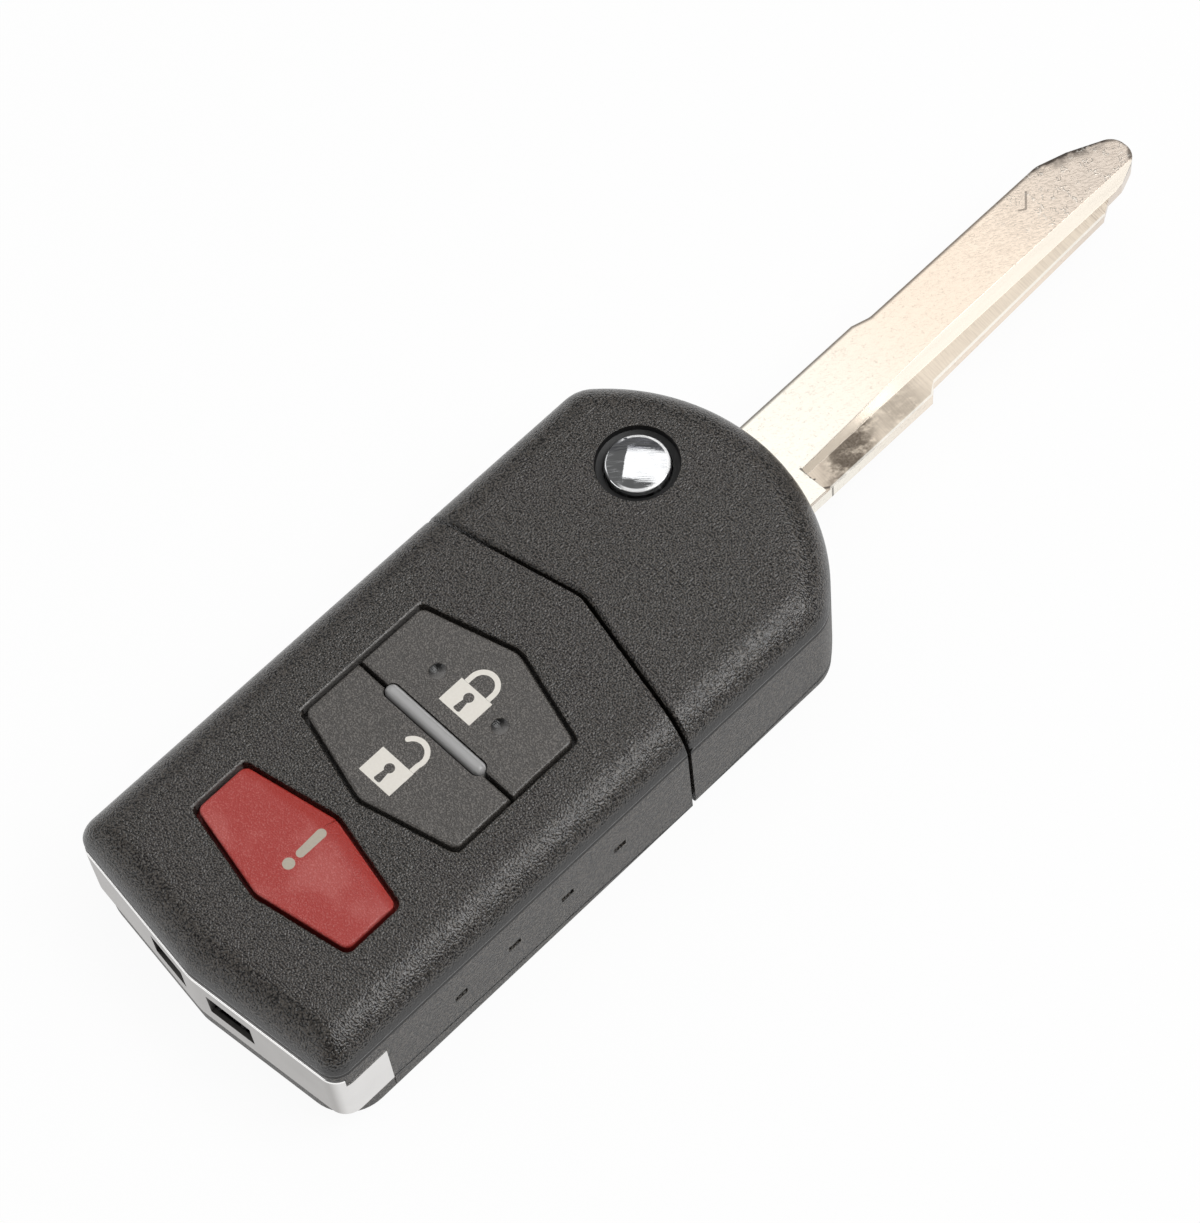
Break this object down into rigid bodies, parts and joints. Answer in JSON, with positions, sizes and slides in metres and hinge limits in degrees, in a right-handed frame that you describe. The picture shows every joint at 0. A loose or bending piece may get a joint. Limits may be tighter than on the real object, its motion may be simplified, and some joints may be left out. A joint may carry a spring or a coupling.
{
  "type": "flip remote key",
  "caption": "Folding car remote key, blade swung open: round head with release button, grained body with lock, unlock and alarm keys, metal end with key ring slots.",
  "frame": {"origin": "middle of the bounding box on the back face, which the key lies on", "axes": "+X to the key's right, +Y along the opened blade, +Z out of the front face"},
  "size_m": [0.0352, 0.1251, 0.0152],
  "materials": {
    "case_plastic": "fine spark-eroded grain",
    "key_plastic": "finer grain",
    "alarm_plastic": "satin",
    "bar_plastic": "glossy",
    "inner_plastic": "matt",
    "chrome": "mirror",
    "blade_steel": "satin",
    "end_metal": "satin",
    "hub_metal": "as cast",
    "spring_steel": "bright",
    "screw_steel": "zinc plated",
    "silicone": "matt",
    "board_laminate": "solder mask",
    "chip_black": "matt",
    "cell_steel": "brushed",
    "copper": "tinned"
  },
  "bodies": {
    "case": {"head_front": "case_plastic", "head_back": "case_plastic", "front_cover": "case_plastic", "back_cover": "case_plastic", "divider_bar": "bar_plastic", "inner_frame": "inner_plastic", "pivot_post": "inner_plastic", "key_ring_end": "end_metal", "head_screw": "screw_steel", "keypad_gasket": "silicone", "circuit_board": "board_laminate", "control_chip": "chip_black", "transponder_chip": "chip_black", "crystal": "cell_steel", "lock_switch": "cell_steel", "unlock_switch": "cell_steel", "panic_switch": "cell_steel", "antenna_loop": "copper", "battery": "cell_steel", "battery_contact": "spring_steel", "battery_clip": "spring_steel"},
    "blade_unit": {"blade": "blade_steel", "blade_hub": "hub_metal", "blade_pin": "screw_steel", "flip_spring": "spring_steel"},
    "release": {"release_button": "chrome"},
    "lock_key": {"lock_button": "key_plastic"},
    "unlock_key": {"unlock_button": "key_plastic"},
    "alarm_key": {"panic_button": "alarm_plastic"}
  },
  "joints": [
    {"name": "blade_flip", "type": "hinge", "parent": "case", "child": "blade_unit", "pos_m": [-0.00624, 0.00135, 0.00765], "axis": [0, 0, 1], "range_deg": [0, 180], "stiffness_Nm_per_rad": 0.004},
    {"name": "release_press", "type": "slide", "parent": "blade_unit", "child": "release", "axis": [0, 0, -1], "range_m": [0, 0.002], "stiffness_N_per_m": 400, "deforming": ["flip_spring"]},
    {"name": "lock_press", "type": "slide", "parent": "case", "child": "lock_key", "axis": [0, 0, -1], "range_m": [0, 0.0006], "stiffness_N_per_m": 2500},
    {"name": "unlock_press", "type": "slide", "parent": "case", "child": "unlock_key", "axis": [0, 0, -1], "range_m": [0, 0.0006], "stiffness_N_per_m": 2500},
    {"name": "alarm_press", "type": "slide", "parent": "case", "child": "alarm_key", "axis": [0, 0, -1], "range_m": [0, 0.0006], "stiffness_N_per_m": 2500}
  ]
}
